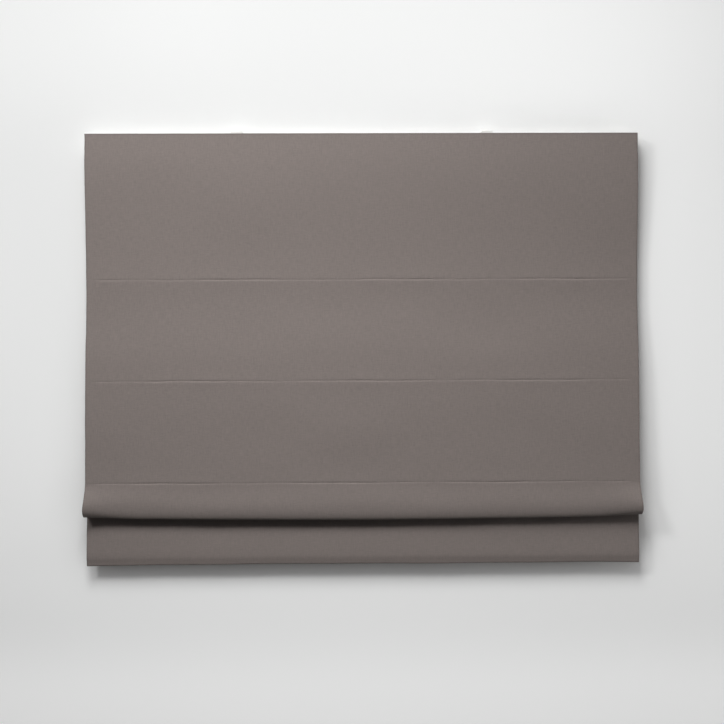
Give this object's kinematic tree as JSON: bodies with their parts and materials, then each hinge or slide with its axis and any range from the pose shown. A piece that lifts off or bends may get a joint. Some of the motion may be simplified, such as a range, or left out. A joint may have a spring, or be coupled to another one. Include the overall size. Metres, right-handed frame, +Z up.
{
  "type": "roman blind",
  "caption": "Cordless roman blind: one woven cloth with rod seams, a hanging fold and a straight hem, on a sprung lift rail held by wall brackets with turning latches.",
  "frame": {"origin": "centre of the brackets' wall holes, on the wall", "axes": "+X to the right along the rail, +Y into the wall, +Z up"},
  "size_m": [1.2, 0.0611, 0.9404],
  "materials": {
    "white_enamel": "satin enamel",
    "white_plastic": "satin",
    "hook_tape": "hooked tape",
    "cloth": "plain weave",
    "sewn_tape": "woven tape",
    "rod_plastic": "drawn rod",
    "clear_plastic": "moulded",
    "zinc_steel": "zinc plated",
    "cord": "braided"
  },
  "bodies": {
    "blind": {"headrail": "white_enamel", "mounting_bracket_left": "white_enamel", "mounting_bracket_right": "white_enamel", "end_cap_left": "white_plastic", "end_cap_right": "white_plastic", "spool_cradle_left": "white_plastic", "spool_cradle_centre": "white_plastic", "spool_cradle_right": "white_plastic", "hook_tape": "hook_tape", "blind_cloth": "cloth", "loop_tape": "sewn_tape", "rod_tape_1": "sewn_tape", "rod_tape_2": "sewn_tape", "rod_tape_3": "sewn_tape", "rod_tape_4": "sewn_tape", "stiffening_rod_1": "rod_plastic", "stiffening_rod_2": "rod_plastic", "stiffening_rod_3": "rod_plastic", "stiffening_rod_4": "rod_plastic", "cord_rings_1": "clear_plastic", "cord_rings_2": "clear_plastic", "cord_rings_3": "clear_plastic", "cord_rings_4": "clear_plastic", "cord_stop_left": "clear_plastic", "cord_stop_centre": "clear_plastic", "cord_stop_right": "clear_plastic", "spring_housing": "clear_plastic", "spring_cover": "clear_plastic", "hem_bar": "zinc_steel", "latch_rivet_left": "zinc_steel", "latch_rivet_right": "zinc_steel", "lift_cord_left": "cord", "lift_cord_centre": "cord", "lift_cord_right": "cord"},
    "lift_shaft": {"lift_shaft": "zinc_steel", "shaft_collar_left": "white_plastic", "shaft_collar_right": "white_plastic", "spring_arbor": "zinc_steel", "power_spring": "zinc_steel", "cord_spool_left": "white_plastic", "cord_spool_centre": "white_plastic", "cord_spool_right": "white_plastic", "cord_winding_left": "cord", "cord_winding_centre": "cord", "cord_winding_right": "cord"},
    "bracket_latch_left": {"bracket_latch_left": "zinc_steel"},
    "bracket_latch_right": {"bracket_latch_right": "zinc_steel"}
  },
  "joints": [
    {"name": "lift_shaft_turn", "type": "hinge", "parent": "blind", "child": "lift_shaft", "pos_m": [0, -0.021, -0.003], "axis": [1, 0, 0], "range_deg": [-1080, 4680]},
    {"name": "bracket_latch_left_turn", "type": "hinge", "parent": "blind", "child": "bracket_latch_left", "pos_m": [-0.2715, -0.01888, 0], "axis": [0, 0, 1], "range_deg": [0, 90]},
    {"name": "bracket_latch_right_turn", "type": "hinge", "parent": "blind", "child": "bracket_latch_right", "pos_m": [0.2715, -0.01888, 0], "axis": [0, 0, 1], "range_deg": [0, 90]}
  ]
}
